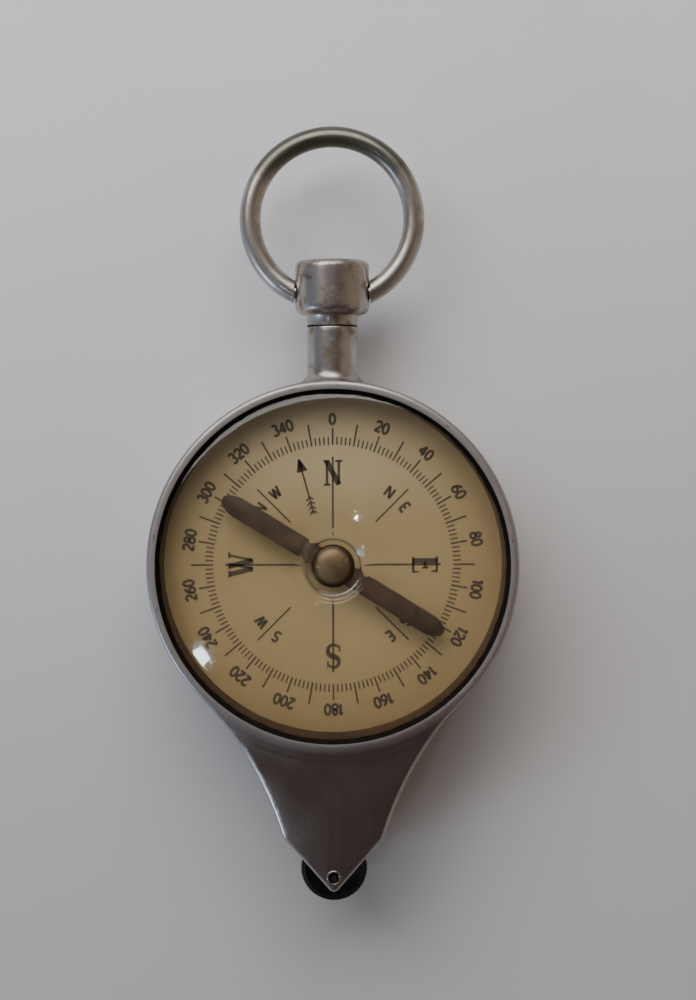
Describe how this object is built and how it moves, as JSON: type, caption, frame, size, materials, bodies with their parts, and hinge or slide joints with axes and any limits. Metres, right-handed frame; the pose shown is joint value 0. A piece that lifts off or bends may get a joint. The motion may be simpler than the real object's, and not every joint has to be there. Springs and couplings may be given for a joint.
{
  "type": "pocket map measurer with compass",
  "caption": "Pocket map measurer: a tracing wheel at the horn drives a pointer over a rear distance dial, with a domed compass in front and a swivelling hanging ring.",
  "frame": {"origin": "middle of the outline on the surface that the rear bezel rests on", "axes": "+Z out of the compass dial, +Y from the tracing wheel towards the hanging ring, +X to the right of the dial"},
  "size_m": [0.033, 0.0702, 0.0119],
  "materials": {
    "worn_nickel": "nickel plate, dulled and finely scratched, darker on the horn",
    "plate_brass": "plain turned and stamped brass",
    "aged_cap_brass": "brown aged brass",
    "dark_brass": "darkened brass",
    "steel": "turned steel",
    "blued_steel": "blued steel",
    "wheel_steel": "blackened steel with worn tooth tips",
    "bronzed_steel": "brown bronzed magnet steel",
    "celluloid_crystal": "clear aged celluloid",
    "glass_crystal": "clear glass",
    "ivory_card": "yellowed ivory print",
    "silvered_dial": "aged silvered dial with dark print"
  },
  "bodies": {
    "case": {"front_shell": "worn_nickel", "rear_shell": "worn_nickel", "rear_bezel": "worn_nickel", "rear_crystal": "glass_crystal", "compass_crystal": "celluloid_crystal", "rehaut_ring": "dark_brass", "compass_dial": "ivory_card", "compass_dial_plate": "plate_brass", "compass_pivot": "steel", "main_plate": "plate_brass", "rear_plate": "plate_brass", "pillar_1": "plate_brass", "pillar_2": "plate_brass", "pillar_3": "plate_brass", "plate_screw_1": "steel", "plate_screw_2": "steel", "plate_screw_3": "steel", "horn_post": "plate_brass", "post_screw": "steel", "cheek_screw_1": "steel", "cheek_screw_2": "steel", "front_bush": "plate_brass", "rear_bush": "plate_brass", "distance_dial": "silvered_dial", "pendant_tube": "worn_nickel"},
    "wheel": {"tracing_wheel": "wheel_steel", "wheel_arbor": "steel"},
    "first_wheel_set": {"first_gear": "plate_brass", "first_arbor": "steel"},
    "second_wheel_set": {"second_gear": "plate_brass", "second_arbor": "steel"},
    "centre_wheel_set": {"centre_gear": "plate_brass", "centre_arbor": "steel", "distance_pointer": "blued_steel", "pointer_collet": "plate_brass"},
    "needle": {"compass_needle": "bronzed_steel", "needle_cap": "aged_cap_brass"},
    "cap": {"bow_cap": "worn_nickel", "swivel_washer": "plate_brass"},
    "ring": {"bow_ring": "worn_nickel"}
  },
  "joints": [
    {"name": "wheel_spin", "type": "hinge", "parent": "case", "child": "wheel", "pos_m": [0, -0.03203, 0.0063], "axis": [0, 0, 1], "continuous": true},
    {"name": "first_spin", "type": "hinge", "parent": "case", "child": "first_wheel_set", "pos_m": [0, -0.02703, 0.0063], "axis": [0, 0, 1], "continuous": true},
    {"name": "second_spin", "type": "hinge", "parent": "case", "child": "second_wheel_set", "pos_m": [0.00055, -0.01923, 0.0063], "axis": [0, 0, 1], "continuous": true},
    {"name": "centre_spin", "type": "hinge", "parent": "case", "child": "centre_wheel_set", "pos_m": [0, -0.00433, 0.0063], "axis": [0, 0, 1], "continuous": true},
    {"name": "needle_spin", "type": "hinge", "parent": "case", "child": "needle", "pos_m": [0, -0.00433, 0.00894], "axis": [0, 0, 1], "continuous": true},
    {"name": "cap_swivel", "type": "hinge", "parent": "case", "child": "cap", "pos_m": [0, 0.0181, 0.0063], "axis": [0, 1, 0], "continuous": true},
    {"name": "ring_swing", "type": "hinge", "parent": "cap", "child": "ring", "pos_m": [0, 0.0202, 0.0063], "axis": [1, 0, 0], "range_deg": [-130, 130]}
  ],
  "couplings": [
    {"joint": "first_spin", "follows": "wheel_spin", "ratio": -0.42857},
    {"joint": "second_spin", "follows": "wheel_spin", "ratio": 0.17143},
    {"joint": "centre_spin", "follows": "wheel_spin", "ratio": -0.019048}
  ]
}
